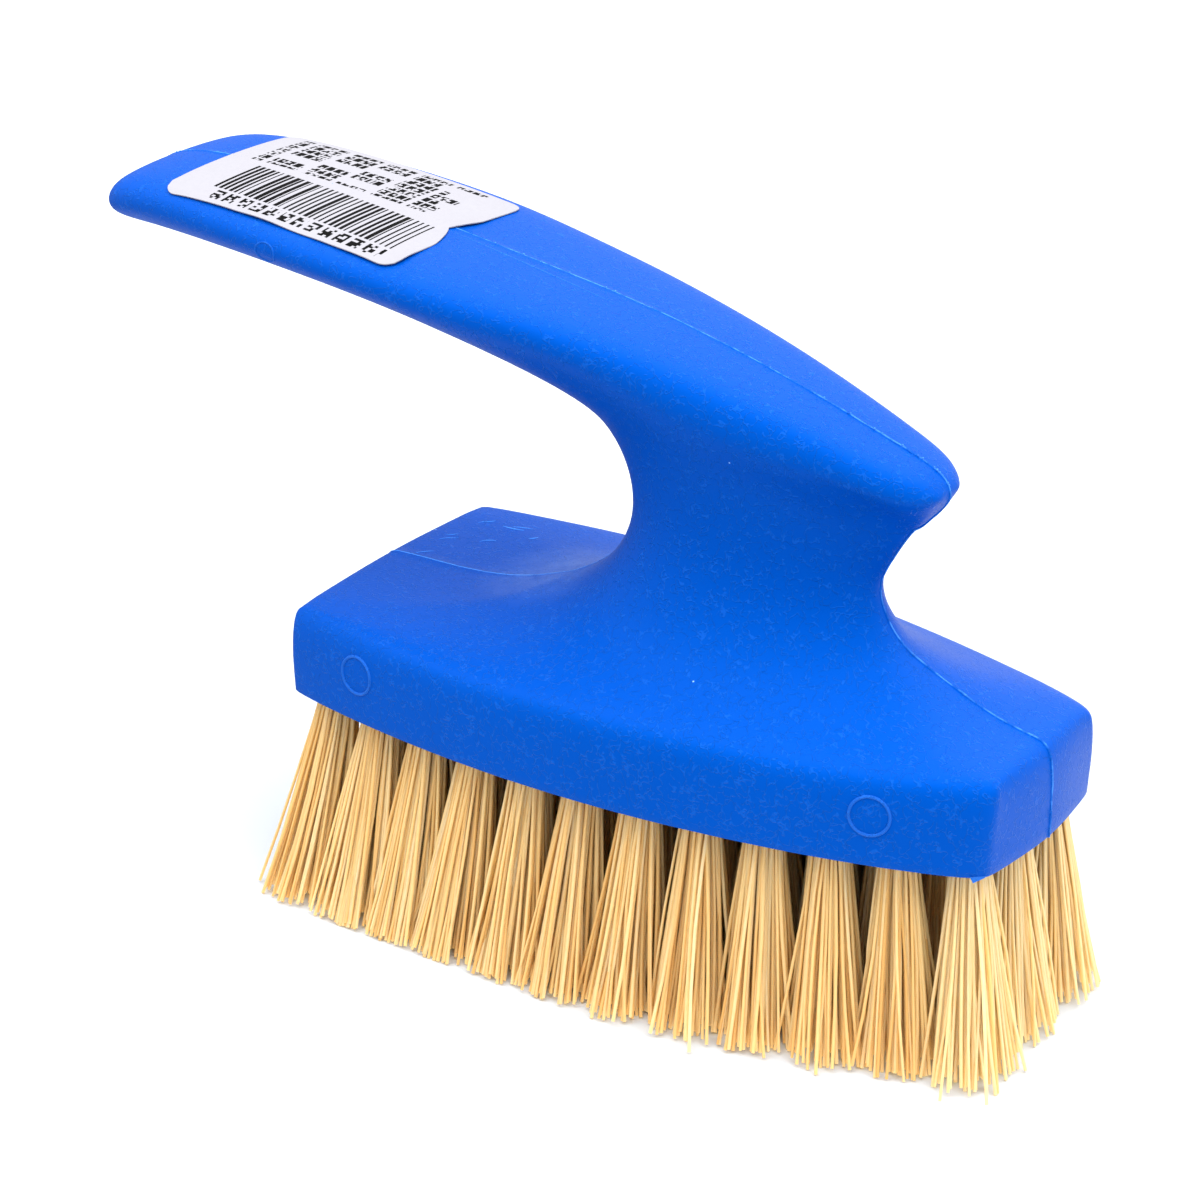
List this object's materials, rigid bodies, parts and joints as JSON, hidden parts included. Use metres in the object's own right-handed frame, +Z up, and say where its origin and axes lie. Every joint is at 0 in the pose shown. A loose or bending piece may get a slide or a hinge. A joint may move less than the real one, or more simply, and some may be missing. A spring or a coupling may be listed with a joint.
{
  "type": "laundry brush",
  "caption": "Hand laundry brush: a moulded plastic head flowing into an arched overhanging handle, with tufts of stiff plant fibre set in holes under the head and a paper label on the handle",
  "frame": {"origin": "on the plane of the fibre tips, under the middle of the brush's overall length and on its seam plane", "axes": "+X along the brush towards the nose of the handle, +Y to the brush's left, +Z up"},
  "size_m": [0.1318, 0.0524, 0.0865],
  "materials": {
    "blue_plastic": "bright blue injection-moulded polypropylene, satin, with a fine curled mould texture",
    "straw_fibre": "straw-coloured stiff plant fibre, cut ends",
    "label_paper": "white coated label paper, satin"
  },
  "bodies": {
    "root": {"moulded_body": "blue_plastic", "tuft_right_outer_01": "straw_fibre", "tuft_right_outer_02": "straw_fibre", "tuft_right_outer_03": "straw_fibre", "tuft_right_outer_04": "straw_fibre", "tuft_right_outer_05": "straw_fibre", "tuft_right_outer_06": "straw_fibre", "tuft_right_outer_07": "straw_fibre", "tuft_right_outer_08": "straw_fibre", "tuft_right_outer_09": "straw_fibre", "tuft_right_outer_10": "straw_fibre", "tuft_right_outer_11": "straw_fibre", "tuft_right_outer_12": "straw_fibre", "tuft_right_inner_01": "straw_fibre", "tuft_right_inner_02": "straw_fibre", "tuft_right_inner_03": "straw_fibre", "tuft_right_inner_04": "straw_fibre", "tuft_right_inner_05": "straw_fibre", "tuft_right_inner_06": "straw_fibre", "tuft_right_inner_07": "straw_fibre", "tuft_right_inner_08": "straw_fibre", "tuft_right_inner_09": "straw_fibre", "tuft_right_inner_10": "straw_fibre", "tuft_middle_01": "straw_fibre", "tuft_middle_02": "straw_fibre", "tuft_middle_03": "straw_fibre", "tuft_middle_04": "straw_fibre", "tuft_middle_05": "straw_fibre", "tuft_middle_06": "straw_fibre", "tuft_middle_07": "straw_fibre", "tuft_middle_08": "straw_fibre", "tuft_middle_09": "straw_fibre", "tuft_middle_10": "straw_fibre", "tuft_middle_11": "straw_fibre", "tuft_middle_12": "straw_fibre", "tuft_left_inner_01": "straw_fibre", "tuft_left_inner_02": "straw_fibre", "tuft_left_inner_03": "straw_fibre", "tuft_left_inner_04": "straw_fibre", "tuft_left_inner_05": "straw_fibre", "tuft_left_inner_06": "straw_fibre", "tuft_left_inner_07": "straw_fibre", "tuft_left_inner_08": "straw_fibre", "tuft_left_inner_09": "straw_fibre", "tuft_left_inner_10": "straw_fibre", "tuft_left_outer_01": "straw_fibre", "tuft_left_outer_02": "straw_fibre", "tuft_left_outer_03": "straw_fibre", "tuft_left_outer_04": "straw_fibre", "tuft_left_outer_05": "straw_fibre", "tuft_left_outer_06": "straw_fibre", "tuft_left_outer_07": "straw_fibre", "tuft_left_outer_08": "straw_fibre", "tuft_left_outer_09": "straw_fibre", "tuft_left_outer_10": "straw_fibre", "tuft_left_outer_11": "straw_fibre", "tuft_left_outer_12": "straw_fibre", "paper_label": "label_paper"}
  },
  "joints": []
}
